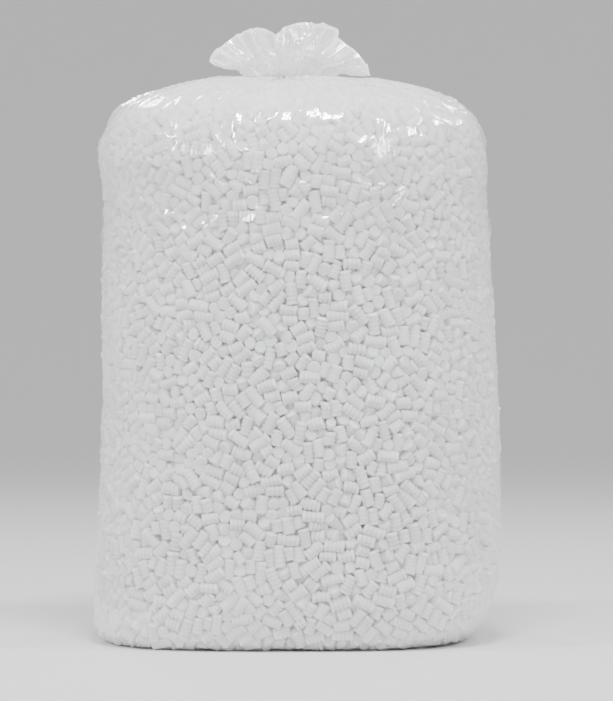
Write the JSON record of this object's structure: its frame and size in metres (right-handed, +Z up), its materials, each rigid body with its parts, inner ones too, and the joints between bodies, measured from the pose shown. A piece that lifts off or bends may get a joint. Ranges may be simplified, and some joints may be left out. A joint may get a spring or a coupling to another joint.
{
  "type": "packing peanut bag",
  "caption": "Clear plastic film bag packed full of loose-fill packing peanuts, its neck gathered and tied shut under a ruffled tuft; stands on its flat base.",
  "frame": {"origin": "centre of the base, on the surface that the bag stands on", "axes": "+Z up to the tied neck, +X to the right seen from the front, +Y to the back"},
  "size_m": [0.606, 0.536, 0.9183],
  "materials": {
    "film": "clear polyethylene film, glossy, milky where its folds lie on each other",
    "peanuts": "off-white extruded foam, ribbed, matt",
    "tie": "white plastic ribbon over a wire core"
  },
  "bodies": {
    "root": {"bag_film": "film", "peanut_fill": "peanuts", "twist_tie": "tie"}
  },
  "joints": []
}
